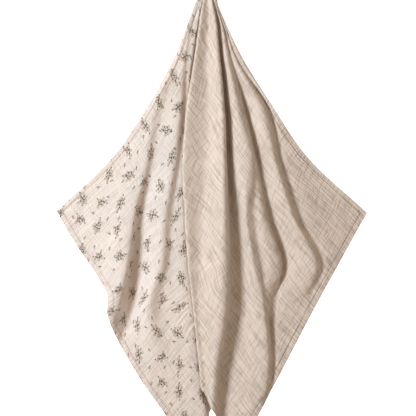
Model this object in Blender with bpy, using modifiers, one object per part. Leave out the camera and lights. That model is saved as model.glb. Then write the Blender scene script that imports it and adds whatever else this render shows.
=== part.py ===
"""Two swaddle blankets of crinkled cotton muslin, hung together from one point.

Each blanket is one square sheet held by a corner: it hangs with a diagonal upright, one side corner
spread out to its visible side and the other side folded away behind. The origin is the hanging point
at the gathered top, +Z is up, X runs along the front and -Y faces the viewer. A drop is measured down
from the corner's own tip, which is bunched up in the hold.
"""
import math

import bpy
import numpy as np

MM = 0.001
SIDE = 1100 * MM                # each blanket is cut square
SHEET = 1.6 * MM                # two layers of crinkled gauze
TOP_DROP = 26 * MM              # from the tip of the bunched corner down to the hanging point
TIP_RISE = 16 * MM              # from the lowest corner up to the last full row
GATHER_DROP = 300 * MM          # the folds gather towards the held tip above this drop
FADE_DROP = 150 * MM            # above this drop the folds close up into the bunch
COLUMNS = 40                    # cells across a blanket
ROWS = 30                       # cells down a blanket
CURVE_STEPS = 10                # steps on the section between two folds

# Where each fold runs: its name, its depth y at the hanging point, then its x and its depth y in mm at
# each of these drops below the point. The rows of a table follow the section of the cloth, from its
# free edge behind to past its visible hem.
FOLD_DROPS = [200, 300, 500, 700, 900, 1100, 1200, 1500, 1760]
PLAIN_FOLDS = [
    ("back free edge", 0,
     [88, 130, 265, 400, 520, 395, 333, 150, 90], [21, 30, 35, 39, 40, 40, 39, 30, 26]),
    ("back wave far", 0,
     [54, 80, 172, 260, 340, 266, 226, 100, 60], [21, 30, 36, 39, 40, 42, 40, 30, 26]),
    ("back wave near", 0,
     [20, 30, 66, 105, 140, 110, 94, 44, 30], [20, 28, 35, 41, 44, 43, 41, 32, 28]),
    ("behind the edge", 0,
     [-20, -32, -52, -62, -50, -40, -33, -2, 8], [11, 14, 19, 22, 24, 23, 22, 22, 24]),
    ("folded edge", -4,
     [-32, -46, -77, -91, -82, -69, -57, -26, -6], [-9, -9, -18, -21, -18, -13, -8, -8, 2]),
    ("edge crest", -8,
     [-27, -41, -72, -86, -77, -64, -52, -21, -1], [-13, -14, -24, -27, -23, -17, -12, -13, -4]),
    ("first dip", -8,
     [6, 0, 8, -4, -18, -28, -34, -8, 8], [3, 4, -6, -11, -10, -10, -8, -12, -4]),
    ("first ridge", -8,
     [31, 38, 54, 60, 60, 56, 54, 21, 20], [-28, -36, -54, -60, -64, -59, -56, -40, -24]),
    ("ridge edge", -8,
     [38, 47, 65, 70, 75, 77, 75, 37, 30], [-24, -31, -46, -51, -55, -52, -50, -34, -18]),
    ("under the ridge", -8,
     [40, 47, 66, 74, 84, 86, 84, 44, 36], [-4, -4, -8, -10, -8, -10, -7, -2, 4]),
    ("deep valley", -8,
     [47, 55, 75, 81, 91, 98, 96, 54, 44], [10, 14, 15, 17, 17, 16, 18, 19, 14]),
    ("rising side", -8,
     [52, 61, 88, 104, 122, 136, 140, 104, 64], [-8, -12, -24, -28, -15, -3, 3, 5, 0]),
    ("second ridge", -8,
     [57, 72, 114, 150, 144, 174, 180, 178, 120], [-18, -26, -47, -48, -50, -46, -36, -24, -18]),
    ("second edge", -8,
     [60, 79, 127, 171, 157, 191, 206, 224, 160], [-16, -24, -40, -42, -43, -41, -40, -31, -16]),
    ("soft valley", -8,
     [62, 83, 131, 176, 177, 207, 216, 234, 172], [-14, -20, -28, -30, -32, -28, -26, -17, -12]),
    ("soft ridge", -8,
     [63, 86, 136, 182, 202, 240, 230, 240, 178], [-11, -16, -18, -20, -36, -36, -14, -8, -8]),
    ("soft edge", -8,
     [64, 88, 140, 186, 218, 270, 242, 246, 184], [-6, -9, -8, -10, -28, -29, -2, -4, -6]),
    ("right valley", -8,
     [65, 91, 146, 193, 231, 286, 256, 251, 190], [-8, -13, 6, 8, 12, 12, 4, -8, -8]),
    ("right rise", -8,
     [67, 95, 162, 214, 262, 304, 272, 257, 196], [-10, -14, -20, -20, -10, -9, -10, -12, -10]),
    ("third ridge", -8,
     [69, 100, 198, 253, 318, 396, 345, 266, 204], [-13, -19, -42, -46, -46, -44, -22, -14, -10]),
    ("third edge", -8,
     [71, 104, 217, 266, 331, 412, 365, 272, 210], [-11, -16, -33, -33, -33, -36, -20, -13, -10]),
    ("outer valley", -8,
     [73, 109, 231, 277, 343, 424, 380, 280, 216], [-6, -12, -10, -12, -14, -21, -18, -12, -10]),
    ("outer ridge", -8,
     [76, 116, 245, 297, 368, 450, 410, 306, 240], [-10, -15, -26, -21, -20, -26, -20, -12, -10]),
    ("corner crease", -8,
     [90, 140, 290, 400, 522, 530, 490, 370, 300], [-7, -10, -18, -16, -12, -16, -15, -10, -8]),
    ("past the hem", -8,
     [115, 175, 360, 560, 760, 720, 640, 440, 380], [-3, -4, -12, -16, -18, -14, -13, -8, -8]),
]
PRINTED_FOLDS = [
    ("back free edge", 12,
     [-61, -90, -230, -340, -420, -275, -210, -60, -20], [45, 66, 87, 101, 106, 100, 93, 60, 50]),
    ("back wave far", 12,
     [-27, -40, -93, -137, -170, -97, -66, 0, 10], [41, 60, 80, 93, 98, 92, 86, 58, 48]),
    ("back wave near", 12,
     [27, 40, 40, 47, 60, 80, 80, 60, 40], [45, 66, 86, 99, 104, 97, 90, 60, 50]),
    ("behind the edge", 12,
     [57, 84, 122, 157, 190, 178, 164, 100, 70], [42, 62, 78, 88, 90, 86, 81, 58, 48]),
    ("folded edge", 8,
     [62, 92, 141, 182, 215, 200, 184, 116, 88], [34, 50, 62, 70, 72, 71, 68, 50, 42]),
    ("hidden wave", 6,
     [34, 50, 77, 97, 110, 101, 93, 60, 70], [29, 42, 49, 55, 60, 60, 58, 46, 42]),
    ("hidden dip", 6,
     [4, 6, 2, 3, 10, 10, 12, 20, 52], [31, 46, 54, 60, 64, 62, 59, 48, 42]),
    ("under the plain", 6,
     [-27, -42, -58, -66, -62, -50, -42, -12, 34], [22, 30, 38, 43, 44, 41, 40, 38, 32]),
    ("light strip", 6,
     [-40, -56, -76, -90, -84, -71, -58, -27, 20], [-2, 0, 9, 4, 2, 4, 4, 10, 8]),
    ("near valley", 6,
     [-56, -72, -82, -104, -131, -145, -168, -100, -40], [0, -3, 11, 1, 0, 1, 3, 7, 10]),
    ("near ridge", 6,
     [-66, -83, -101, -125, -160, -177, -216, -156, -70], [-5, -9, -11, -16, -17, -17, -16, 9, 4]),
    ("far valley", 6,
     [-70, -96, -166, -196, -250, -282, -284, -316, -110], [-3, -8, -8, 0, 12, 38, 46, 16, 8]),
    ("far edge", 6,
     [-72, -101, -176, -209, -262, -291, -305, -340, -160], [-4, -8, -11, -2, 2, 20, 24, 10, 8]),
    ("far ridge", 6,
     [-75, -108, -198, -227, -272, -301, -326, -390, -220], [-7, -10, -17, -15, -21, -24, -14, 14, 6]),
    ("outer dip", 6,
     [-80, -116, -250, -372, -470, -424, -420, -460, -300], [0, -2, -2, 4, 4, 8, 2, 16, 6]),
    ("past the hem", 6,
     [-115, -170, -330, -560, -720, -700, -670, -600, -420], [-3, -4, -6, 2, 4, 4, 4, 16, 4]),
]

# One row per blanket. The bias slope is the half width of the hung square for each unit of drop; the
# hem routes are (drop, x) in mm, from the hanging point to the side corner and on to the lowest one.
BLANKETS = [
    {
        "name": "plain_blanket", "side": 1, "bias_slope": 0.74, "folds": PLAIN_FOLDS,
        "upper_hem": [(0, 0), (90, 35), (290, 124), (480, 240), (680, 378), (884, 597)],
        "lower_hem": [(884, 597), (1180, 432), (1480, 275), (1768, 120)],
        "colour": (0.60, 0.48, 0.39, 1.0),
    },
    {
        "name": "printed_blanket", "side": -1, "bias_slope": 0.755, "folds": PRINTED_FOLDS,
        "upper_hem": [(0, 0), (90, -40), (290, -115), (480, -217), (680, -356), (878, -562)],
        "lower_hem": [(878, -562), (1000, -492), (1100, -424), (1190, -372), (1260, -372),
                      (1350, -340), (1500, -254), (1640, -155), (1756, -66)],
        "colour": (0.80, 0.70, 0.63, 1.0),
    },
]


def clear_scene():
    for item in list(bpy.data.objects):
        bpy.data.objects.remove(item, do_unlink=True)


def side_corner_drop(blanket):
    """Drop from the hanging point to the side corners of the hung, slightly sheared square."""
    return SIDE * math.cos(math.atan(blanket["bias_slope"]))


def half_width(blanket, drop):
    corner = side_corner_drop(blanket)
    return blanket["bias_slope"] * min(drop, 2 * corner - drop)


def smooth_table(drops, values, drop):
    """Value at a drop on the smooth curve through a table (cubic, with slopes from the neighbours)."""
    slopes = np.gradient(values, drops)
    i = int(np.clip(np.searchsorted(drops, drop) - 1, 0, len(drops) - 2))
    span = drops[i + 1] - drops[i]
    t = (drop - drops[i]) / span
    rise = values[i + 1] - values[i]
    start, end = slopes[i] * span, slopes[i + 1] * span
    return values[i] + start * t + (3 * rise - 2 * start - end) * t ** 2 + (start + end - 2 * rise) * t ** 3


def hem_x(blanket, drop):
    route = "upper_hem" if drop <= side_corner_drop(blanket) else "lower_hem"
    table = np.array(blanket[route]) * MM
    return smooth_table(table[:, 0], table[:, 1], drop)


def fold_points(blanket, drop):
    """Where each fold crosses the level at a drop, as (x, y) points."""
    stations = np.array([0] + FOLD_DROPS) * MM
    points = []
    for _, top, xs, ys in blanket["folds"]:
        across = smooth_table(stations, np.array([0] + xs) * MM, drop)
        depth = smooth_table(stations, np.array([0] + ys) * MM, drop) * min(1.0, drop / FADE_DROP)
        points.append((across, depth + top * MM * max(0.0, 1 - drop / GATHER_DROP)))
    return np.array(points)


def smooth_section(points):
    """Centripetal curve through the fold points, which keeps tight folds free of loops."""
    ends = [2 * points[0] - points[1]], [2 * points[-1] - points[-2]]
    knots = np.concatenate([ends[0], points, ends[1]])
    gaps = np.sqrt(np.maximum(np.linalg.norm(np.diff(knots, axis=0), axis=1), 1e-9))
    curve = []
    for i in range(1, len(knots) - 2):
        before, here, after = gaps[i - 1], gaps[i], gaps[i + 1]
        a, b, c, d = knots[i - 1:i + 3]
        leave = here * ((b - a) / before - (c - a) / (before + here) + (c - b) / here)
        arrive = here * ((c - b) / here - (d - b) / (here + after) + (d - c) / after)
        for t in np.arange(CURVE_STEPS) / CURVE_STEPS:
            curve.append(b + leave * t + (3 * (c - b) - 2 * leave - arrive) * t ** 2
                         + (leave + arrive - 2 * (c - b)) * t ** 3)
    curve.append(knots[-2])
    return np.array(curve)


def cloth_row(blanket, drop):
    """Points of the cloth across one level: each lies its own distance of cloth in from the hem."""
    section = smooth_section(fold_points(blanket, drop))
    length = np.concatenate([[0], np.cumsum(np.linalg.norm(np.diff(section, axis=0), axis=1))])
    past_hem = blanket["side"] * (section[:, 0] - hem_x(blanket, drop)) > 0
    first = min(int(np.nonzero(~past_hem)[0][-1]), len(section) - 2)
    reach = (hem_x(blanket, drop) - section[first, 0]) / (section[first + 1, 0] - section[first, 0])
    hem_length = length[first] + reach * (length[first + 1] - length[first])
    width = min(2 * half_width(blanket, drop), hem_length)
    places = hem_length - width * (1 - np.arange(COLUMNS + 1) / COLUMNS)
    return np.column_stack([np.interp(places, length, section[:, 0]),
                            np.interp(places, length, section[:, 1]),
                            np.full(COLUMNS + 1, TOP_DROP - drop)])


def row_drops(blanket):
    """Levels of the rows, closer together near the bunched top, with one level at the side corners."""
    corner = side_corner_drop(blanket)
    upper = ROWS // 2
    above = TOP_DROP + (corner - TOP_DROP) * (np.arange(upper + 1) / upper) ** 1.25
    below = np.linspace(corner, 2 * corner - TIP_RISE, ROWS - upper + 1)
    return np.concatenate([above, below[1:]])


def make_material(blanket):
    material = bpy.data.materials.new(blanket["name"] + "_muslin")
    material.use_nodes = True
    shader = material.node_tree.nodes["Principled BSDF"]
    shader.inputs["Base Color"].default_value = blanket["colour"]
    shader.inputs["Roughness"].default_value = 0.92
    shader.inputs["Metallic"].default_value = 0.0
    return material


def make_blanket(blanket, collection):
    """Loft the level sections into one sheet and give it its thickness."""
    points = np.concatenate([cloth_row(blanket, drop) for drop in row_drops(blanket)])
    wide = COLUMNS + 1
    faces = []
    for row in range(ROWS):
        for column in range(COLUMNS):
            corner = row * wide + column
            face = (corner, corner + wide, corner + wide + 1, corner + 1)
            faces.append(face if blanket["side"] > 0 else face[::-1])
    mesh = bpy.data.meshes.new(blanket["name"])
    mesh.from_pydata(points.tolist(), [], faces)
    mesh.shade_smooth()
    mesh.materials.append(make_material(blanket))
    sheet = bpy.data.objects.new(blanket["name"], mesh)
    collection.objects.link(sheet)
    solidify = sheet.modifiers.new("cloth thickness", "SOLIDIFY")
    solidify.thickness = SHEET
    solidify.offset = 0.0
    return sheet


def main():
    clear_scene()
    collection = bpy.data.collections.new("swaddle_blankets")
    bpy.context.scene.collection.children.link(collection)
    for blanket in BLANKETS:
        make_blanket(blanket, collection)


main()
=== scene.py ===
import bpy
import math
import numpy as np
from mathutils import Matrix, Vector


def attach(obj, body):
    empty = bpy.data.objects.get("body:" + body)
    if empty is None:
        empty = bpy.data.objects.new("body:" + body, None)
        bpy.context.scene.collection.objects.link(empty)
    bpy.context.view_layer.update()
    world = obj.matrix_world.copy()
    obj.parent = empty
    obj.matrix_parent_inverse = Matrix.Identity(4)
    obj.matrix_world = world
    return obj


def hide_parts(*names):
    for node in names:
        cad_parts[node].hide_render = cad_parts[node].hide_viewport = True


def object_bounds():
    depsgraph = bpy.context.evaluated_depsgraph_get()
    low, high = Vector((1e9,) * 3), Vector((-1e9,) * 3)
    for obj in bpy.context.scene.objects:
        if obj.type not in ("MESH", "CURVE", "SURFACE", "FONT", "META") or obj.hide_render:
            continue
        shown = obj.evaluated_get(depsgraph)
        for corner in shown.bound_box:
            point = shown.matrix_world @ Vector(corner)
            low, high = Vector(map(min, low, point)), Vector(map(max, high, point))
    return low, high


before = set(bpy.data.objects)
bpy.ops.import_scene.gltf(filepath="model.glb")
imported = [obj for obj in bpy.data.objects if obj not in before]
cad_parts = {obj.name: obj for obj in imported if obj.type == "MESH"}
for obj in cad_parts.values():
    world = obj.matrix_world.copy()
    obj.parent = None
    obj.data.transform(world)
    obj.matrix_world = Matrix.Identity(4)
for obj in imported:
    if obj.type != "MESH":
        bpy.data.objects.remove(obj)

# Two crinkled muslin swaddle blankets hung by a corner from one point: a plain one in front,
# spread to the right, and a leaf-printed one behind it, spread to the left.
# u and v are a cloth's own two thread directions, both measured from the corner that is held.

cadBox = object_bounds()
mm = 0.001
topDrop = 26 * mm                 # the corner's tip stands this far above the hanging point
levels = [0, 200, 300, 500, 700, 900, 1100, 1200, 1500, 1760]     # drops in mm of the fold tables
closeDrop = 300 * mm              # above this drop the folds gather towards the held tip
fadeDrop = 150 * mm               # above this drop the folds close up into the bunch
hangRows = 900                    # levels at which the hang is worked out
hangColumns = 501                 # places across the cloth at each of them
foldSteps = 14                    # points of the curve from one fold to the next
tiny = 1e-9                       # less than this counts as no distance

plainCloth = {
    "node": "plain_blanket",
    "cut": 1100 * mm,
    "side": 1,                    # its shown hem hangs to the right
    "biasSlope": 0.74,            # half width of the hung square for each unit of drop
    # Drop and x of the shown hem in mm, above and below the side corner.
    "upperHem": [(0, 0), (90, 35), (290, 124), (480, 240), (680, 378), (884, 597)],
    "lowerHem": [(884, 597), (1180, 432), (1480, 275), (1768, 120)],
    "cells": 218,                 # along each side
    "seed": 5,
    "bodyThickness": 1.2 * mm,
    "hemThickness": 2.4 * mm,
    "hemWidth": 22 * mm,
    "crinkle": 1.0 * mm,          # height of the modelled crinkles
    "lineScales": [(8, 185, 1), (170, 14, 1), (20, 330, 1), (280, 24, 1)],      # cells a metre
    "paintedBumpShade": 0.36,            # painted shade and light: how much the crinkle bumps darken and lighten the colour
    "bumpStrength": 0.8,
    "glowThrough": 0.06,          # how much light soaks through the cloth
    "faceColour": (0.647, 0.559, 0.477),
    "reverseColour": (0.63, 0.54, 0.46),
    "threadColour": (0.50, 0.39, 0.31),
    "stitchPitch": 4.2 * mm,
    "stitchThickness": 0.8 * mm,
    "folds": [                    # name, y at the tip, then x and y at each level below it, in mm
        ("back free edge", 0,
         [88, 130, 265, 400, 520, 395, 333, 150, 90], [21, 30, 35, 39, 40, 40, 39, 30, 26]),
        ("back wave far", 0,
         [54, 80, 172, 260, 340, 266, 226, 100, 60], [21, 30, 36, 39, 40, 42, 40, 30, 26]),
        ("back wave near", 0,
         [20, 30, 66, 105, 140, 110, 94, 44, 30], [20, 28, 35, 41, 44, 43, 41, 32, 28]),
        ("behind the edge", 0,
         [-20, -32, -52, -62, -50, -40, -33, -2, 8], [11, 14, 19, 22, 24, 23, 22, 22, 24]),
        ("folded edge", -4,
         [-32, -46, -77, -91, -82, -69, -57, -26, -6], [-9, -9, -18, -21, -18, -13, -8, -8, 2]),
        ("edge crest", -8,
         [-27, -41, -72, -86, -77, -64, -52, -21, -1], [-13, -14, -24, -27, -23, -17, -12, -13, -4]),
        ("first dip", -8,
         [6, 0, 8, -4, -18, -28, -34, -8, 8], [3, 4, -6, -11, -10, -10, -8, -12, -4]),
        ("first ridge", -8,
         [31, 38, 54, 60, 60, 56, 54, 21, 20], [-28, -36, -54, -60, -64, -59, -56, -40, -24]),
        ("ridge edge", -8,
         [38, 47, 65, 70, 75, 77, 75, 37, 30], [-24, -31, -46, -51, -55, -52, -50, -34, -18]),
        ("under the ridge", -8,
         [40, 47, 66, 74, 84, 86, 84, 44, 36], [-4, -4, -8, -10, -8, -10, -7, -2, 4]),
        ("deep valley", -8,
         [47, 55, 75, 81, 91, 98, 96, 54, 44], [10, 14, 15, 17, 17, 16, 18, 19, 14]),
        ("rising side", -8,
         [52, 61, 88, 104, 122, 136, 140, 104, 64], [-8, -12, -24, -28, -15, -3, 3, 5, 0]),
        ("second ridge", -8,
         [57, 72, 114, 150, 144, 174, 180, 178, 120], [-18, -26, -47, -48, -50, -46, -36, -24, -18]),
        ("second edge", -8,
         [60, 79, 127, 171, 157, 191, 206, 224, 160], [-16, -24, -40, -42, -43, -41, -40, -31, -16]),
        ("soft valley", -8,
         [62, 83, 131, 176, 177, 207, 216, 234, 172], [-14, -20, -28, -30, -32, -28, -26, -17, -12]),
        ("soft ridge", -8,
         [63, 86, 136, 182, 202, 240, 230, 240, 178], [-11, -16, -18, -20, -36, -36, -14, -8, -8]),
        ("soft edge", -8,
         [64, 88, 140, 186, 218, 270, 242, 246, 184], [-6, -9, -8, -10, -28, -29, -2, -4, -6]),
        ("right valley", -8,
         [65, 91, 146, 193, 231, 286, 256, 251, 190], [-8, -13, 6, 8, 12, 12, 4, -8, -8]),
        ("right rise", -8,
         [67, 95, 162, 214, 262, 304, 272, 257, 196], [-10, -14, -20, -20, -10, -9, -10, -12, -10]),
        ("third ridge", -8,
         [69, 100, 198, 253, 318, 396, 345, 266, 204], [-13, -19, -42, -46, -46, -44, -22, -14, -10]),
        ("third edge", -8,
         [71, 104, 217, 266, 331, 412, 365, 272, 210], [-11, -16, -33, -33, -33, -36, -20, -13, -10]),
        ("outer valley", -8,
         [73, 109, 231, 277, 343, 424, 380, 280, 216], [-6, -12, -10, -12, -14, -21, -18, -12, -10]),
        ("outer ridge", -8,
         [76, 116, 245, 297, 368, 450, 410, 306, 240], [-10, -15, -26, -21, -20, -26, -20, -12, -10]),
        ("corner crease", -8,
         [90, 140, 290, 400, 522, 530, 490, 370, 300], [-7, -10, -18, -16, -12, -16, -15, -10, -8]),
        ("past the hem", -8,
         [115, 175, 360, 560, 760, 720, 640, 440, 380], [-3, -4, -12, -16, -18, -14, -13, -8, -8]),
    ],
}

printedCloth = {
    "node": "printed_blanket",
    "cut": 1100 * mm,
    "side": -1,                   # its shown hem hangs to the left
    "biasSlope": 0.755,
    "upperHem": [(0, 0), (90, -40), (290, -115), (480, -217), (680, -356), (878, -562)],
    "lowerHem": [(878, -562), (1000, -492), (1100, -424), (1190, -372), (1260, -372), (1350, -340),
                 (1500, -254), (1640, -155), (1756, -66)],
    "cells": 218,
    "seed": 11,
    "bodyThickness": 1.2 * mm,
    "hemThickness": 2.4 * mm,
    "hemWidth": 22 * mm,
    "crinkle": 0.8 * mm,
    "lineScales": [(8, 185, 1), (170, 14, 1), (20, 330, 1), (280, 24, 1)],
    # painted shade and light from the crinkle bumps, weaker than on the plain cloth
    "paintedBumpShade": 0.15,
    "bumpStrength": 0.7,
    "glowThrough": 0.25,
    "inks": {"ground": (0.707, 0.631, 0.573), "leaf": (0.50, 0.455, 0.36), "outline": (0.17, 0.13, 0.105),
             "berry": (0.060, 0.041, 0.033)},
    "reverseInk": 0.28,           # how strongly the print shows on the reverse
    "threadColour": (0.66, 0.57, 0.50),
    "stitchPitch": 4.2 * mm,
    "stitchThickness": 0.8 * mm,
    "folds": [
        ("back free edge", 12,
         [-61, -90, -230, -340, -420, -275, -210, -60, -20], [45, 66, 87, 101, 106, 100, 93, 60, 50]),
        ("back wave far", 12,
         [-27, -40, -93, -137, -170, -97, -66, 0, 10], [41, 60, 80, 93, 98, 92, 86, 58, 48]),
        ("back wave near", 12,
         [27, 40, 40, 47, 60, 80, 80, 60, 40], [45, 66, 86, 99, 104, 97, 90, 60, 50]),
        ("behind the edge", 12,
         [57, 84, 122, 157, 190, 178, 164, 100, 70], [42, 62, 78, 88, 90, 86, 81, 58, 48]),
        ("folded edge", 8,
         [62, 92, 141, 182, 215, 200, 184, 116, 88], [34, 50, 62, 70, 72, 71, 68, 50, 42]),
        ("hidden wave", 6,
         [34, 50, 77, 97, 110, 101, 93, 60, 70], [29, 42, 49, 55, 60, 60, 58, 46, 42]),
        ("hidden dip", 6,
         [4, 6, 2, 3, 10, 10, 12, 20, 52], [31, 46, 54, 60, 64, 62, 59, 48, 42]),
        ("under the plain", 6,
         [-27, -42, -58, -66, -62, -50, -42, -12, 34], [22, 30, 38, 43, 44, 41, 40, 38, 32]),
        ("light strip", 6,
         [-40, -56, -76, -90, -84, -71, -58, -27, 20], [-2, 0, 9, 4, 2, 4, 4, 10, 8]),
        ("near valley", 6,
         [-56, -72, -82, -104, -131, -145, -168, -100, -40], [0, -3, 11, 1, 0, 1, 3, 7, 10]),
        ("near ridge", 6,
         [-66, -83, -101, -125, -160, -177, -216, -156, -70], [-5, -9, -11, -16, -17, -17, -16, 9, 4]),
        ("far valley", 6,
         [-70, -96, -166, -196, -250, -282, -284, -316, -110], [-3, -8, -8, 0, 12, 38, 46, 16, 8]),
        ("far edge", 6,
         [-72, -101, -176, -209, -262, -291, -305, -340, -160], [-4, -8, -11, -2, 2, 20, 24, 10, 8]),
        ("far ridge", 6,
         [-75, -108, -198, -227, -272, -301, -326, -390, -220], [-7, -10, -17, -15, -21, -24, -14, 14, 6]),
        ("outer dip", 6,
         [-80, -116, -250, -372, -470, -424, -420, -460, -300], [0, -2, -2, 4, 4, 8, 2, 16, 6]),
        ("past the hem", 6,
         [-115, -170, -330, -560, -720, -700, -670, -600, -420], [-3, -4, -6, 2, 4, 4, 4, 16, 4]),
    ],
}


def cubic(start, end, leave, arrive, t):      # from start to end with these slopes, as t goes from 0 to 1
    rise = end - start
    return (start + leave * t + (3 * rise - 2 * leave - arrive) * t ** 2
            + (leave + arrive - 2 * rise) * t ** 3)


def smoothTable(places, values, at):      # smooth curve through a table
    places = np.asarray(places, float)
    values = np.asarray(values, float)
    at = np.minimum(np.asarray(at, float), places[-1])
    slopes = np.gradient(values, places)
    i = np.clip(np.searchsorted(places, at) - 1, 0, len(places) - 2)
    span = places[i + 1] - places[i]
    return cubic(values[i], values[i + 1], slopes[i] * span, slopes[i + 1] * span, (at - places[i]) / span)


def cornerDrop(cloth):                    # level of the side corners of the hung, sheared square
    return cloth["cut"] * math.cos(math.atan(cloth["biasSlope"]))


def halfWidth(cloth, drop):
    return cloth["biasSlope"] * np.minimum(drop, 2 * cornerDrop(cloth) - drop)


def hemX(cloth, drops):
    upper = np.array(cloth["upperHem"]) * mm
    lower = np.array(cloth["lowerHem"]) * mm
    return np.where(drops <= cornerDrop(cloth),
                    smoothTable(upper[:, 0], upper[:, 1], np.minimum(drops, upper[-1, 0])),
                    smoothTable(lower[:, 0], lower[:, 1], np.maximum(drops, lower[0, 0])))


def foldKnots(cloth, drops):              # where each fold crosses each level, as [level, fold, xy]
    stations = np.array(levels) * mm
    knots = []
    for name, top, xs, ys in cloth["folds"]:
        xs = smoothTable(stations, [0] + xs, drops) * mm
        ys = smoothTable(stations, [0] + ys, drops) * mm
        ys = ys * np.minimum(1, drops / fadeDrop) + top * mm * np.maximum(0, 1 - drops / closeDrop)
        knots.append(np.stack([xs, ys], axis=-1))
    return np.stack(knots, axis=1)


def smoothSections(knots):                # a curve through the folds of every level, free of loops
    first = 2 * knots[:, :1] - knots[:, 1:2]
    last = 2 * knots[:, -1:] - knots[:, -2:-1]
    knots = np.concatenate([first, knots, last], axis=1)
    gaps = np.sqrt(np.maximum(np.linalg.norm(np.diff(knots, axis=1), axis=2), tiny))[..., None]
    curve = []
    for i in range(1, knots.shape[1] - 2):
        before, here, after = gaps[:, i - 1], gaps[:, i], gaps[:, i + 1]
        a, b, c, d = (knots[:, i + k] for k in (-1, 0, 1, 2))
        leave = here * ((b - a) / before - (c - a) / (before + here) + (c - b) / here)
        arrive = here * ((c - b) / here - (d - b) / (here + after) + (d - c) / after)
        for t in np.arange(foldSteps) / foldSteps:
            curve.append(cubic(b, c, leave, arrive, t))
    curve.append(knots[:, -2])
    return np.stack(curve, axis=1)


def hangCloth(cloth, u, v):               # where the hung cloth puts the thread crossing at (u, v)
    corner = cornerDrop(cloth)
    drops = np.linspace(0, 2 * corner, hangRows)
    sections = smoothSections(foldKnots(cloth, drops))
    hems = hemX(cloth, drops)
    across = np.linspace(0, 1, hangColumns)       # from the hidden hem to the shown one
    table = np.zeros((len(drops), len(across), 2))
    for k, section in enumerate(sections):
        length = np.concatenate([[0], np.cumsum(np.linalg.norm(np.diff(section, axis=0), axis=1))])
        inside = cloth["side"] * (section[:, 0] - hems[k]) <= 0
        last = min(int(np.nonzero(inside)[0][-1]), len(section) - 2) if inside.any() else 0
        run = section[last + 1, 0] - section[last, 0]
        reach = (hems[k] - section[last, 0]) / run if abs(run) > tiny else 0
        hemLength = length[last] + np.clip(reach, 0, 1) * (length[last + 1] - length[last])
        width = min(2 * float(halfWidth(cloth, drops[k])), hemLength)
        places = hemLength - width * (1 - across)
        for axis in (0, 1):
            table[k, :, axis] = np.interp(places, length, section[:, axis])
    lean = math.atan(cloth["biasSlope"])
    drop = (u + v) * math.cos(lean)
    offset = (u - v) * math.sin(lean)     # cloth distance from the upright diagonal, towards the shown hem
    width = np.maximum(halfWidth(cloth, drop), 1e-6)              # never 0 at the two ends
    row = np.clip(drop / drops[1], 0, len(drops) - 1.001)         # just inside the table
    column = np.clip((offset / width + 1) / 2, 0, 1) * (len(across) - 1.001)
    r, c = row.astype(int), column.astype(int)
    fr, fc = (row - r)[..., None], (column - c)[..., None]
    place = ((table[r, c] * (1 - fc) + table[r, c + 1] * fc) * (1 - fr)
             + (table[r + 1, c] * (1 - fc) + table[r + 1, c + 1] * fc) * fr)
    return np.stack([place[..., 0], place[..., 1], topDrop - drop], axis=-1)


hemShape = {                      # places are in hem widths from the edge
    "gridLines": [0, 0.08, 0.25, 0.42, 0.58, 0.74, 0.86, 0.93, 1.0, 1.1],
    "stitchLine": 0.92,
    "turnedTo": 0.95,             # here the turned hem ends
    "drawnIn": 0.9,               # middle of the groove that the stitches draw in
    "drawnHalf": 0.05,            # half width of the groove
    "drawnThickness": 0.5,        # part of the hem's thickness left in the groove
}


def threadLines(cloth):                   # places of the grid lines along one side, close at the hems
    cut = cloth["cut"]
    band = np.array(hemShape["gridLines"]) * cloth["hemWidth"]
    inner = np.linspace(band[-1], cut - band[-1], cloth["cells"] - 2 * len(band) + 3)
    return np.concatenate([band, inner[1:-1], (cut - band)[::-1]])


def softNoise(rng, u, v, cellU, cellV, cut):     # smooth noise with cells of cellU by cellV metres
    values = rng.standard_normal((int(cut / cellU) + 3, int(cut / cellV) + 3))
    a, b = u / cellU, v / cellV
    i, j = a.astype(int), b.astype(int)
    s, t = a - i, b - j
    s, t = s * s * (3 - 2 * s), t * t * (3 - 2 * t)
    return ((values[i, j] * (1 - s) + values[i + 1, j] * s) * (1 - t)
            + (values[i, j + 1] * (1 - s) + values[i + 1, j + 1] * s) * t)


def edgeDistance(cloth, u, v):
    cut = cloth["cut"]
    return np.minimum(np.minimum(u, cut - u), np.minimum(v, cut - v))


crinkles = {                      # a cell is its size along u and along v in metres, then a weight if any
    "cellsAlongU": [(0.070, 0.0105, 1.0), (0.035, 0.0062, 0.6)],
    "cellsAlongV": [(0.0115, 0.055, 1.0), (0.0065, 0.030, 0.5)],
    "weightAlongU": 0.62,
    "weightAlongV": 0.42,
    "patchCell": (0.12, 0.09),    # slow patches where the crinkles are stronger or weaker
    "patchMean": 0.75,
    "patchSwing": 0.35,
    "patchLimits": (0.25, 1.4),
    "broadCell": (0.045, 0.038),
    "broadWeight": 0.7,
    "puckerPitch": 13.5 * mm,
    "puckerCell": (0.030, 0.030),
    "puckerWander": 2.2,          # in radians of the pucker's wave
    "puckerReach": 12 * mm,       # to either side of the hem's inner edge
    "puckerWeight": 0.8,
    "calmWithin": 1.6,            # hem widths from the edge in which the crinkles are weaker
    "calmLeast": 0.25,
}


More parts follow.
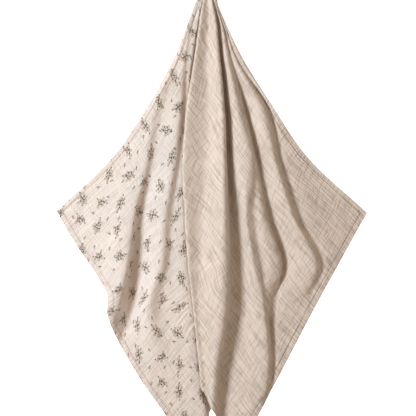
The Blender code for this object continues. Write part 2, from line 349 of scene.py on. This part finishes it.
def crinkleHeight(cloth, u, v):           # crinkles along both threads, and puckers along the hems
    rng = np.random.default_rng(cloth["seed"])
    cut = cloth["cut"]
    alongU = sum(weight * softNoise(rng, u, v, sizeU, sizeV, cut)
                 for sizeU, sizeV, weight in crinkles["cellsAlongU"])
    alongV = sum(weight * softNoise(rng, u, v, sizeU, sizeV, cut)
                 for sizeU, sizeV, weight in crinkles["cellsAlongV"])
    patches = softNoise(rng, u, v, *crinkles["patchCell"], cut)
    patches = np.clip(crinkles["patchMean"] + crinkles["patchSwing"] * patches, *crinkles["patchLimits"])
    broad = softNoise(rng, u, v, *crinkles["broadCell"], cut)
    body = (patches * (crinkles["weightAlongU"] * alongU + crinkles["weightAlongV"] * alongV)
            + crinkles["broadWeight"] * broad)
    edge = edgeDistance(cloth, u, v)
    nearU = np.minimum(u, cut - u) < np.minimum(v, cut - v)       # this hem runs along v
    run = np.where(nearU, v, u)
    wander = softNoise(rng, u, v, *crinkles["puckerCell"], cut)
    pucker = np.sin(2 * math.pi * run / crinkles["puckerPitch"] + crinkles["puckerWander"] * wander)
    nearStitch = np.exp(-((edge - cloth["hemWidth"]) / crinkles["puckerReach"]) ** 2)
    calm = np.clip(edge / (crinkles["calmWithin"] * cloth["hemWidth"]), crinkles["calmLeast"], 1)
    return cloth["crinkle"] * (body * calm + crinkles["puckerWeight"] * pucker * nearStitch)


def makeSheet(cloth):
    lines = threadLines(cloth)
    count = len(lines)
    bpy.ops.object.select_all(action="DESELECT")
    bpy.ops.mesh.primitive_grid_add(x_subdivisions=count - 1, y_subdivisions=count - 1, size=cloth["cut"])
    sheet = bpy.context.object
    sheet.name = cloth["node"].replace("blanket", "muslin_sheet")
    mesh = sheet.data
    flat = np.empty(len(mesh.vertices) * 3)
    mesh.vertices.foreach_get("co", flat)
    flat = flat.reshape(-1, 3)[:, :2] / cloth["cut"] + 0.5
    index = np.rint(flat * (count - 1)).astype(int)
    u, v = lines[index[:, 0]], lines[index[:, 1]]
    hung = hangCloth(cloth, u, v)
    mesh.vertices.foreach_set("co", hung.ravel())
    if cloth["side"] > 0:
        mesh.flip_normals()
    mesh.update()
    normals = np.empty(len(mesh.vertices) * 3)
    mesh.vertex_normals.foreach_get("vector", normals)
    hung = hung + normals.reshape(-1, 3) * crinkleHeight(cloth, u, v)[:, None]
    mesh.vertices.foreach_set("co", hung.ravel())
    layer = mesh.uv_layers.active
    layer.name = "threads"
    corners = np.empty(len(mesh.loops), int)
    mesh.loops.foreach_get("vertex_index", corners)
    layer.data.foreach_set("uv", np.column_stack([u, v])[corners].ravel() / cloth["cut"])
    mesh.update()
    edge = edgeDistance(cloth, u, v)
    band = cloth["hemWidth"]
    thick = np.where(edge < band * hemShape["turnedTo"], 1.0, cloth["bodyThickness"] / cloth["hemThickness"])
    fromGroove = np.abs(edge - band * hemShape["drawnIn"])
    thick = np.where(fromGroove < band * hemShape["drawnHalf"], hemShape["drawnThickness"], thick)
    group = sheet.vertex_groups.new(name="thickness")
    for value in np.unique(thick):
        group.add(np.nonzero(thick == value)[0].tolist(), float(value), "REPLACE")
    solidify = sheet.modifiers.new("thickness", "SOLIDIFY")
    solidify.thickness = cloth["hemThickness"]
    solidify.offset = 0
    solidify.vertex_group = "thickness"
    solidify.material_offset = 1
    bpy.context.view_layer.objects.active = sheet
    bpy.ops.object.modifier_apply(modifier=solidify.name)
    sheet.data.shade_smooth()
    return sheet


stitchShape = {
    "onTop": 0.62,                # part of the pitch that lies on the cloth
    "sides": 6,
    "rings": [(-0.5, 0.35), (-0.3, 0.85), (0, 1.0), (0.3, 0.85), (0.5, 0.35)],     # place along it, swell
    "sunk": 1.2,                  # how far it is sunk into the groove, in thread radii
}


def makeStitches(cloth):                  # raised running stitches on both faces of the hem, as one mesh
    cut, pitch = cloth["cut"], cloth["stitchPitch"]
    inset = hemShape["stitchLine"] * cloth["hemWidth"]
    length, radius = stitchShape["onTop"] * pitch, cloth["stitchThickness"] / 2
    sides, rings = stitchShape["sides"], stitchShape["rings"]
    count = int((cut - 2 * inset) / pitch)
    run = inset + (np.arange(count) + 0.5) * (cut - 2 * inset) / count
    low, high = np.full(count, inset), np.full(count, cut - inset)
    u = np.concatenate([run, high, run, low])
    v = np.concatenate([low, run, high, run])
    alongU = np.concatenate([np.ones(count), np.zeros(count), np.ones(count), np.zeros(count)])
    groove = hemShape["drawnThickness"] / 2 * cloth["hemThickness"]       # height of the groove's face
    step = 0.2 * mm                       # short way along each thread, to find how the cloth faces
    sections = []
    for part, swell in rings:
        a, b = u + alongU * part * length, v + (1 - alongU) * part * length
        here = hangCloth(cloth, a, b)
        overU = hangCloth(cloth, a + step, b) - here
        overV = hangCloth(cloth, a, b + step) - here
        outward = np.cross(overU, overV)
        outward = outward / np.linalg.norm(outward, axis=1)[:, None] * -cloth["side"]
        along = np.where(alongU[:, None] > 0.5, overU, overV)
        along = along / np.linalg.norm(along, axis=1)[:, None]
        here = here + outward * crinkleHeight(cloth, a, b)[:, None]
        sections.append((swell, here, outward, np.cross(along, outward)))
    verts, faces = [], []
    lastRing = (len(rings) - 1) * sides
    for face in (1, -1):
        for k in range(len(u)):
            base = len(verts)
            for swell, here, outward, across in sections:
                middle = here[k] + outward[k] * face * (groove + radius * (2 * swell - stitchShape["sunk"]))
                for turn in np.arange(sides) * 2 * math.pi / sides:
                    verts.append(middle + radius * swell * (math.cos(turn) * across[k]
                                                            + math.sin(turn) * outward[k]))
            for ring in range(len(rings) - 1):
                for j in range(sides):
                    a, b = base + ring * sides + j, base + ring * sides + (j + 1) % sides
                    faces.append((a, b, b + sides, a + sides))
            faces.append(tuple(base + j for j in range(sides))[::-1])
            faces.append(tuple(base + lastRing + j for j in range(sides)))
    mesh = bpy.data.meshes.new(cloth["node"].replace("blanket", "hem_stitches"))
    mesh.from_pydata([tuple(vert) for vert in verts], [], faces)
    mesh.shade_smooth()
    stitches = bpy.data.objects.new(mesh.name, mesh)
    bpy.context.collection.objects.link(stitches)
    print(mesh.name, len(u), "stitches", len(mesh.polygons), "faces")
    return stitches


class Nodes:                              # adds and joins nodes in one material
    def __init__(self, name):
        self.material = bpy.data.materials.new(name)
        self.material.use_nodes = True
        self.tree = self.material.node_tree
        self.shader = self.tree.nodes["Principled BSDF"]

    def fill(self, node, inputs):         # gives each input a value, or joins it to another node's output
        for key, value in inputs.items():
            if isinstance(value, bpy.types.NodeSocket):
                self.tree.links.new(value, node.inputs[key])
            else:
                node.inputs[key].default_value = value

    def add(self, kind, inputs, **settings):
        node = self.tree.nodes.new(kind)
        for key, value in settings.items():
            setattr(node, key, value)
        self.fill(node, inputs)
        return node

    def math(self, operation, a, b=0.0):
        return self.add("ShaderNodeMath", {0: a, 1: b}, operation=operation).outputs[0]

    def vector(self, operation, a, b):
        return self.add("ShaderNodeVectorMath", {0: a, 1: b}, operation=operation).outputs[0]

    def weightedSum(self, parts):         # parts are values with their weights
        total = 0.0
        for value, weight in parts:
            total = self.math("ADD", total, self.math("MULTIPLY", value, weight))
        return total

    def mixColour(self, factor, a, b, blend="MIX"):
        a, b = ((*value, 1) if isinstance(value, tuple) else value for value in (a, b))
        node = self.add("ShaderNodeMix", {0: factor, 6: a, 7: b}, data_type="RGBA", blend_type=blend)
        return node.outputs[2]

    def ramp(self, value, low, high):     # 0 below low, 1 above high
        node = self.add("ShaderNodeMapRange", {0: value, 1: low, 2: high}, interpolation_type="SMOOTHSTEP")
        return node.outputs[0]

    def downRamp(self, value, low, high):         # 1 below low, 0 above high
        return self.math("SUBTRACT", 1.0, self.ramp(value, low, high))


bumps = {
    "bendScale": 26.0,            # a slow noise bends the crinkle lines
    "bend": 10 * mm,
    "lineWeights": [0.6, 0.45, 0.3, 0.25],        # one for each of lineScales
    "creaseRamp": (-0.17, -0.03),                 # the low parts of the first two are sharpened to creases
    "creaseWeights": [-0.42, -0.3],
    "puckerScale": (118, 22),     # cells a metre along a hem and across it
    "puckerReach": 2.4,           # in hem widths from the edge
    "puckerWeight": 1.2,
    "stitchRamp": (0.4 * mm, 3.2 * mm),
    "stitchWeight": -0.7,
    "weavePitch": 0.75 * mm,
    "weaveWeight": 0.03,
    "depth": 3.0 * mm,
}


def threadPlace(nodes, cut):              # the cloth's own coordinates in metres
    uv = nodes.add("ShaderNodeUVMap", {}, uv_map="threads").outputs[0]
    return nodes.vector("MULTIPLY", uv, (cut, cut, 0))


def lineNoise(nodes, place, scale, detail=2.0):       # noise drawn out along one thread, about 0
    stretched = nodes.vector("MULTIPLY", place, scale)
    noise = nodes.add("ShaderNodeTexNoise", {"Vector": stretched, "Scale": 1.0, "Detail": detail,
                                             "Roughness": 0.5}, noise_dimensions="2D").outputs[0]
    return nodes.math("SUBTRACT", noise, 0.5)


def hemMarks(nodes, place, cloth):        # the stitched line, how near a hem is, and if it runs along u
    split = nodes.add("ShaderNodeSeparateXYZ", {0: place})
    cut, band = cloth["cut"], cloth["hemWidth"]
    fromU = nodes.math("MINIMUM", split.outputs[0], nodes.math("SUBTRACT", cut, split.outputs[0]))
    fromV = nodes.math("MINIMUM", split.outputs[1], nodes.math("SUBTRACT", cut, split.outputs[1]))
    edge = nodes.math("MINIMUM", fromU, fromV)
    offLine = nodes.math("ABSOLUTE", nodes.math("SUBTRACT", edge, hemShape["stitchLine"] * band))
    line = nodes.downRamp(offLine, *bumps["stitchRamp"])
    near = nodes.downRamp(edge, band, bumps["puckerReach"] * band)
    return line, near, nodes.math("LESS_THAN", fromV, fromU)


def clothBump(nodes, place, cloth):       # crinkle lines along both threads, hem puckers, stitch line, weave
    wander = nodes.add("ShaderNodeTexNoise", {"Vector": place, "Scale": bumps["bendScale"], "Detail": 1.0})
    wander = nodes.vector("SUBTRACT", wander.outputs["Color"], (0.5, 0.5, 0.5))
    bent = nodes.vector("ADD", place, nodes.vector("MULTIPLY", wander, (bumps["bend"], bumps["bend"], 0)))
    lines = [lineNoise(nodes, bent, scale) for scale in cloth["lineScales"]]
    creases = [nodes.downRamp(line, *bumps["creaseRamp"]) for line in lines[:2]]
    hemLine, near, alongU = hemMarks(nodes, place, cloth)
    along, across = bumps["puckerScale"]
    puckerV = lineNoise(nodes, place, (along, across, 1), 1.0)    # short lines across a hem that runs along u
    puckerU = lineNoise(nodes, place, (across, along, 1), 1.0)
    pucker = nodes.add("ShaderNodeMix", {0: alongU, 2: puckerU, 3: puckerV}).outputs[0]
    height = nodes.weightedSum([*zip(lines, bumps["lineWeights"]),
                                (nodes.math("MULTIPLY", pucker, near), bumps["puckerWeight"]),
                                (hemLine, bumps["stitchWeight"]),
                                *zip(creases, bumps["creaseWeights"])])
    split = nodes.add("ShaderNodeSeparateXYZ", {0: place})
    pitch = 2 * math.pi / bumps["weavePitch"]
    warp = nodes.math("SINE", nodes.math("MULTIPLY", split.outputs[0], pitch))
    weft = nodes.math("SINE", nodes.math("MULTIPLY", split.outputs[1], pitch))
    weave = nodes.math("MULTIPLY", nodes.math("MULTIPLY", warp, weft), bumps["weaveWeight"])
    bump = nodes.add("ShaderNodeBump", {"Strength": cloth["bumpStrength"], "Distance": bumps["depth"],
                                        "Height": nodes.math("ADD", height, weave)})
    nodes.fill(nodes.shader, {"Normal": bump.outputs[0]})
    return height


finish = {
    "slowScale": 9.0,             # slow patches of shade and of roughness
    "slowShade": 0.06,
    "slowRough": 0.12,
    "rough": 0.84,
    "surface": {"Sheen Weight": 0.12, "Sheen Roughness": 0.6, "Specular IOR Level": 0.2,
                "Subsurface Radius": (1.0, 0.5, 0.35), "Subsurface Scale": 6 * mm},
}


def finishCloth(nodes, place, ground, cloth):
    height = clothBump(nodes, place, cloth)
    slow = nodes.add("ShaderNodeTexNoise", {"Vector": place, "Scale": finish["slowScale"], "Detail": 3.0})
    slow = slow.outputs[0]
    # painted shade and light: the bump height darkens the colour in the crinkle grooves, creases, hem puckers
    # and stitch groove and lightens it on their ridges, over slow random tone
    shade = nodes.weightedSum([(slow, finish["slowShade"]), (height, cloth["paintedBumpShade"])])
    shade = nodes.math("ADD", shade, 1.0)
    toneAndPaintedShade = nodes.add("ShaderNodeCombineXYZ", {0: shade, 1: shade, 2: shade}).outputs[0]
    rough = nodes.math("ADD", nodes.math("MULTIPLY", slow, finish["slowRough"]), finish["rough"])
    nodes.fill(nodes.shader, {"Base Color": nodes.mixColour(1.0, ground, toneAndPaintedShade, "MULTIPLY"),
                              "Roughness": rough, "Subsurface Weight": cloth["glowThrough"]})
    nodes.fill(nodes.shader, finish["surface"])


def plainMaterial(name, cloth, colour):
    nodes = Nodes(name)
    finishCloth(nodes, threadPlace(nodes, cloth["cut"]), colour, cloth)
    return nodes.material


# The print: sprigs of small round leaves, dark berries and thin stems, drawn in mm about the sprig's
# middle. Each shape is (x, y, turn in degrees, half length, half width).
sprigs = [
    {"leaves": [(-10, 8, 30, 4.9, 3.6), (-2, 12, 80, 4.9, 3.6), (8, 8, 20, 4.9, 3.6),
                (-8, -2, -10, 5.1, 3.7), (3, 1, 45, 5.1, 3.8), (12, -3, 0, 4.9, 3.4),
                (0, -10, 100, 4.7, 3.4), (10, -12, -40, 4.7, 3.4)],
     "stems": [(-3, 4, -50, 9, 0.8), (7, -6, -45, 9, 0.8), (0, -3, 40, 8, 0.75), (-6, 3, 10, 6, 0.7)],
     "berries": [(-5, 4, 0, 2.2, 2.2), (4, 6, 0, 2.2, 2.2), (-2, -5, 0, 2.2, 2.2), (7, -5, 0, 2.3, 2.3),
                 (14, -16, 0, 2, 2), (-14, 15, 0, 1.9, 1.9), (0, 0, 0, 2.3, 2.3)]},
    {"leaves": [(-11, 2, 10, 4.9, 3.4), (-5, 9, 60, 5, 3.7), (4, 10, 100, 4.9, 3.6),
                (11, 5, 30, 4.9, 3.6), (-4, -4, -30, 5.1, 3.7), (5, -2, 15, 5.1, 3.7),
                (2, -11, 70, 4.7, 3.4), (12, -9, -20, 4.7, 3.3)],
     "stems": [(-8, 8, -55, 9, 0.8), (3, 0, -40, 10, 0.8), (0, 4, 35, 8, 0.75), (8, -10, -60, 7, 0.7)],
     "berries": [(-8, 15, 0, 2, 2), (-7, -1, 0, 2.2, 2.2), (0, 4, 0, 2.3, 2.3), (7, 3, 0, 2.2, 2.2),
                 (8, -6, 0, 2.2, 2.2), (16, -14, 0, 2, 2), (-1, -8, 0, 2.1, 2.1)]},
    {"leaves": [(-9, 5, 20, 4.9, 3.6), (0, 9, 90, 4.9, 3.6), (8, 2, -10, 5.1, 3.7), (-3, -5, 50, 4.9, 3.6),
                (7, -8, -40, 4.8, 3.4), (14, 6, 40, 4.2, 3.1)],
     "stems": [(-2, 2, -48, 11, 0.8), (5, -3, 30, 8, 0.75), (9, 3, 20, 6, 0.7)],
     "berries": [(-13, 12, 0, 2.1, 2.1), (-4, 2, 0, 2.3, 2.3), (3, -2, 0, 2.3, 2.3), (10, -4, 0, 2.1, 2.1),
                 (4, 6, 0, 2.1, 2.1), (13, -15, 0, 2.1, 2.1)]},
]
bud = {"leaves": [(0, 2.5, 75, 4.7, 3.2)], "stems": [(-2, 2, -50, 8, 0.7)],
       "berries": [(1.5, -2, 0, 2.1, 2.1), (-3, 4, 0, 1.4, 1.4)]}
printRepeat = {                   # wander is in cells, and turn in radians to either side of baseTurn
    "pitch": (108 * mm, 76 * mm), "shift": (0.3, 0.1, 0), "size": 1.38,
    "wander": 0.12, "turn": 1.2, "baseTurn": 0.73,
}
budRepeat = {
    "pitch": (62 * mm, 56 * mm), "shift": (0.71, 0.43, 0), "size": 1.1,
    "wander": 0.22, "turn": 3.1, "baseTurn": 0.0,
}
# Where each mask fades, 1 being a shape's outline, and how strongly each ink covers.
inkEdges = {"leaves": (0.92, 1.02), "rim": (0.66, 0.86), "stems": (0.85, 1.1), "berries": (0.9, 1.05)}
inkWeights = {"leaf": 0.85, "outline": 0.8, "berry": 0.92}


def nearest(nodes, place, shapes):        # 0 in the middle of a shape and 1 on its outline
    closest = None
    for x, y, turn, length, width in shapes:
        local = nodes.add("ShaderNodeMapping", {"Vector": place, "Location": (x * mm, y * mm, 0),
                                                "Rotation": (0, 0, math.radians(turn)),
                                                "Scale": (length * mm, width * mm, 1)}, vector_type="TEXTURE")
        size = nodes.add("ShaderNodeVectorMath", {0: local.outputs[0]}, operation="LENGTH").outputs["Value"]
        closest = size if closest is None else nodes.math("MINIMUM", closest, size)
    return closest


def repeatCell(nodes, place, pattern):    # half-drop repeat: the place in its cell, and its random numbers
    pitch = pattern["pitch"]
    grid = nodes.vector("MULTIPLY", place, (1 / pitch[0], 1 / pitch[1], 0))
    grid = nodes.vector("ADD", grid, pattern["shift"])
    split = nodes.add("ShaderNodeSeparateXYZ", {0: grid})
    row = nodes.math("FLOOR", split.outputs[1])
    drop = nodes.math("MULTIPLY", nodes.math("MODULO", row, 2.0), 0.5)
    x = nodes.math("ADD", split.outputs[0], drop)
    column = nodes.math("FLOOR", x)
    cell = nodes.add("ShaderNodeCombineXYZ", {0: column, 1: row, 2: 0.0}).outputs[0]
    inX = nodes.math("SUBTRACT", x, column)
    inY = nodes.math("SUBTRACT", split.outputs[1], row)
    local = nodes.add("ShaderNodeCombineXYZ", {0: inX, 1: inY, 2: 0.0}).outputs[0]
    random = nodes.add("ShaderNodeTexWhiteNoise", {"Vector": cell}, noise_dimensions="3D").outputs["Color"]
    return nodes.vector("SUBTRACT", local, (0.5, 0.5, 0)), random


def placedMotif(nodes, place, pattern):   # the place seen from the nearest motif, and its random number
    pitch, wander, size = pattern["pitch"], pattern["wander"], pattern["size"]
    local, random = repeatCell(nodes, place, pattern)
    jitter = nodes.vector("SUBTRACT", random, (0.5, 0.5, 0.5))
    jitter = nodes.vector("MULTIPLY", jitter, (2 * wander, 2 * wander, 0))
    local = nodes.vector("SUBTRACT", local, jitter)
    local = nodes.vector("MULTIPLY", local, (pitch[0] / size, pitch[1] / size, 0))
    pick = nodes.add("ShaderNodeSeparateColor", {0: random}).outputs[2]
    angle = nodes.math("MULTIPLY", nodes.math("SUBTRACT", pick, 0.5), 2 * pattern["turn"])
    angle = nodes.math("ADD", angle, pattern["baseTurn"])
    other = nodes.math("FRACT", nodes.math("MULTIPLY", pick, 7.0))        # a second number out of the first
    flip = nodes.math("GREATER_THAN", other, 0.5)                         # half of them are upside down
    angle = nodes.math("ADD", angle, nodes.math("MULTIPLY", flip, math.pi))
    turned = nodes.add("ShaderNodeVectorRotate", {"Vector": local, "Angle": angle}, rotation_type="Z_AXIS")
    return turned.outputs[0], pick


def inkLayers(nodes, place):              # leaf, outline and dark masks of the whole print
    local, pick = placedMotif(nodes, place, printRepeat)
    budPlace = placedMotif(nodes, place, budRepeat)[0]
    closest = {kind: nearest(nodes, budPlace, shapes) for kind, shapes in bud.items()}
    wanted = nodes.math("FRACT", nodes.math("MULTIPLY", pick, 13.0))      # says which sprig the cell holds
    for k, sprig in enumerate(sprigs):
        low = nodes.math("GREATER_THAN", wanted, k / len(sprigs))
        high = nodes.math("LESS_THAN", wanted, (k + 1) / len(sprigs))
        other = nodes.math("SUBTRACT", 1.0, nodes.math("MULTIPLY", low, high))
        far = nodes.math("MULTIPLY", other, 50.0)         # keeps it out of cells that hold another sprig
        for kind, shapes in sprig.items():
            size = nodes.math("ADD", nearest(nodes, local, shapes), far)
            closest[kind] = nodes.math("MINIMUM", closest[kind], size)
    fill = nodes.downRamp(closest["leaves"], *inkEdges["leaves"])
    rim = nodes.math("MULTIPLY", nodes.ramp(closest["leaves"], *inkEdges["rim"]), fill)
    dark = nodes.math("MAXIMUM", nodes.downRamp(closest["stems"], *inkEdges["stems"]),
                      nodes.downRamp(closest["berries"], *inkEdges["berries"]))
    return {"leaf": fill, "outline": rim, "berry": dark}


def printedMaterial(name, cloth, inkStrength):
    nodes = Nodes(name)
    place = threadPlace(nodes, cloth["cut"])
    colour = cloth["inks"]["ground"]
    for ink, mask in inkLayers(nodes, place).items():
        strength = nodes.math("MULTIPLY", mask, inkWeights[ink] * inkStrength)
        colour = nodes.mixColour(strength, colour, cloth["inks"][ink])
    finishCloth(nodes, place, colour, cloth)
    return nodes.material


threadLook = {
    "twistScale": 900.0,
    "twistBend": 1.5,
    "grooveShadePart": 0.72,             # painted shade in the twist's grooves: their colour as a part of the thread's
    "twistStrength": 0.5,
    "twistDepth": 0.1 * mm,
    "surface": {"Roughness": 0.55, "Sheen Weight": 0.2},
}


def threadMaterial(name, colour):         # twisted sewing thread, with painted shade in the twist's grooves
    nodes = Nodes(name)
    place = nodes.add("ShaderNodeTexCoord", {}).outputs["Object"]
    twist = nodes.add("ShaderNodeTexWave", {"Vector": place, "Scale": threadLook["twistScale"],
                                            "Distortion": threadLook["twistBend"]},
                      bands_direction="DIAGONAL").outputs["Fac"]
    # painted shade: the twist's grooves are coloured darker than the rest of the thread
    dark = tuple(threadLook["grooveShadePart"] * part for part in colour)
    bump = nodes.add("ShaderNodeBump", {"Strength": threadLook["twistStrength"],
                                        "Distance": threadLook["twistDepth"], "Height": twist})
    nodes.fill(nodes.shader, {"Base Color": nodes.mixColour(twist, dark, colour), "Normal": bump.outputs[0]})
    nodes.fill(nodes.shader, threadLook["surface"])
    return nodes.material


def makePlainBlanket():
    sheet = makeSheet(plainCloth)
    sheet.data.materials.append(plainMaterial("plain muslin face", plainCloth, plainCloth["faceColour"]))
    sheet.data.materials.append(plainMaterial("plain muslin reverse", plainCloth,
                                              plainCloth["reverseColour"]))
    print("plain blanket", len(sheet.data.polygons), "faces")
    stitches = makeStitches(plainCloth)
    stitches.data.materials.append(threadMaterial("plain thread", plainCloth["threadColour"]))
    return sheet, stitches


def makePrintedBlanket():
    sheet = makeSheet(printedCloth)
    sheet.data.materials.append(printedMaterial("printed muslin face", printedCloth, 1.0))
    sheet.data.materials.append(printedMaterial("printed muslin reverse", printedCloth,
                                                printedCloth["reverseInk"]))
    print("printed blanket", len(sheet.data.polygons), "faces")
    stitches = makeStitches(printedCloth)
    stitches.data.materials.append(threadMaterial("cream thread", printedCloth["threadColour"]))
    return sheet, stitches


def handOver(sheet, stitches, cloth, slot):
    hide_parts(cloth["node"])
    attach(sheet, "root")
    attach(stitches, "root")


studio = {
    "wallBehind": 10.0,
    "floorDrop": 0.45,
    "halfSize": 16.0,
    "bend": 1.2,
    "sweepColour": (0.93, 0.93, 0.93, 1),
    "sweepRough": 0.9,
    "glow": 1.0,
    "skyColour": (1.0, 0.82, 0.68),
    "skyStrength": 0.50,
    "lamps": [("key", 116.0, 1.1, (-2.45, -2.35, -0.15)),         # name, watts, size, place
              ("fill", 2.0, 2.4, (2.4, -3.2, 0.2))],
    "lampColour": (0.94, 1.0, 1.08),
    "lampAim": (0, 0, -0.85),
    "lens": 120.0,
    "viewWidth": 1.546,
    "viewCentre": (0.004, -0.840),                                # x and z
    "viewDepth": -0.03,           # the y at which the view is viewWidth wide
    "seeTo": 60,                  # metres
}


def makeStudio():
    low = cadBox[0][2] - studio["floorDrop"]
    bpy.ops.object.select_all(action="DESELECT")
    bpy.ops.mesh.primitive_grid_add(x_subdivisions=2, y_subdivisions=60, size=2 * studio["halfSize"])
    backdrop = bpy.context.object
    backdrop.name = "studio_sweep"
    mesh = backdrop.data
    places = np.empty(len(mesh.vertices) * 3)
    mesh.vertices.foreach_get("co", places)
    places = places.reshape(-1, 3)
    bend, wall = studio["bend"], studio["wallBehind"]
    run = places[:, 1] + studio["halfSize"]           # distance along the sweep from its front edge
    start = studio["halfSize"] + wall - bend
    turn = np.clip((run - start) / bend, 0, math.pi / 2)
    past = np.maximum(run - start - bend * math.pi / 2, 0)
    places[:, 2] = low + bend * (1 - np.cos(turn)) + past
    places[:, 1] = np.minimum(run, start) - studio["halfSize"] + bend * np.sin(turn)
    mesh.vertices.foreach_set("co", places.ravel())
    mesh.shade_smooth()
    nodes = Nodes("studio white")
    nodes.fill(nodes.shader, {"Base Color": studio["sweepColour"], "Roughness": studio["sweepRough"],
                              "Emission Color": (1, 1, 1, 1), "Emission Strength": studio["glow"]})
    mesh.materials.append(nodes.material)
    backdrop.visible_diffuse = False      # it is a pure white ground and doesn't light the cloth
    print("studio sweep set")


def aimed(thing, place, target):
    thing.location = place
    away = np.array(place) - np.array(target)
    flatRun = math.hypot(away[0], away[1])
    thing.rotation_euler = (math.atan2(flatRun, away[2]), 0, math.atan2(away[0], -away[1]))


def makeLights():
    world = bpy.data.worlds.new("studio sky")
    bpy.context.scene.world = world
    world.use_nodes = True
    tree = world.node_tree
    sky = tree.nodes["Background"]
    sky.inputs["Color"].default_value = (*studio["skyColour"], 1)
    sky.inputs["Strength"].default_value = studio["skyStrength"]
    white = tree.nodes.new("ShaderNodeBackground")        # what the camera sees past the sweep
    white.inputs["Color"].default_value = (1, 1, 1, 1)
    rays = tree.nodes.new("ShaderNodeLightPath")
    either = tree.nodes.new("ShaderNodeMixShader")
    tree.links.new(rays.outputs["Is Camera Ray"], either.inputs[0])
    tree.links.new(sky.outputs[0], either.inputs[1])
    tree.links.new(white.outputs[0], either.inputs[2])
    tree.links.new(either.outputs[0], tree.nodes["World Output"].inputs["Surface"])
    for name, power, size, place in studio["lamps"]:
        bpy.ops.object.light_add(type="AREA", location=place)
        lamp = bpy.context.object
        lamp.name = name
        lamp.data.energy = power
        lamp.data.size = size
        lamp.data.color = studio["lampColour"]
        aimed(lamp, place, studio["lampAim"])
    print("lights set")


def makeCamera():
    bpy.ops.object.camera_add()
    camera = bpy.context.object
    camera.data.lens = studio["lens"]
    distance = studio["viewWidth"] * studio["lens"] / camera.data.sensor_width
    x, z = studio["viewCentre"]
    aimed(camera, (x, studio["viewDepth"] - distance, z), (x, 0, z))
    camera.data.clip_end = studio["seeTo"]
    bpy.context.scene.camera = camera
    print("camera set", round(distance, 3), "m away")


handOver(*makePlainBlanket(), plainCloth, "plain_muslin")
handOver(*makePrintedBlanket(), printedCloth, "printed_muslin")
makeStudio()
makeLights()
makeCamera()
bpy.context.scene.view_settings.view_transform = "Standard"
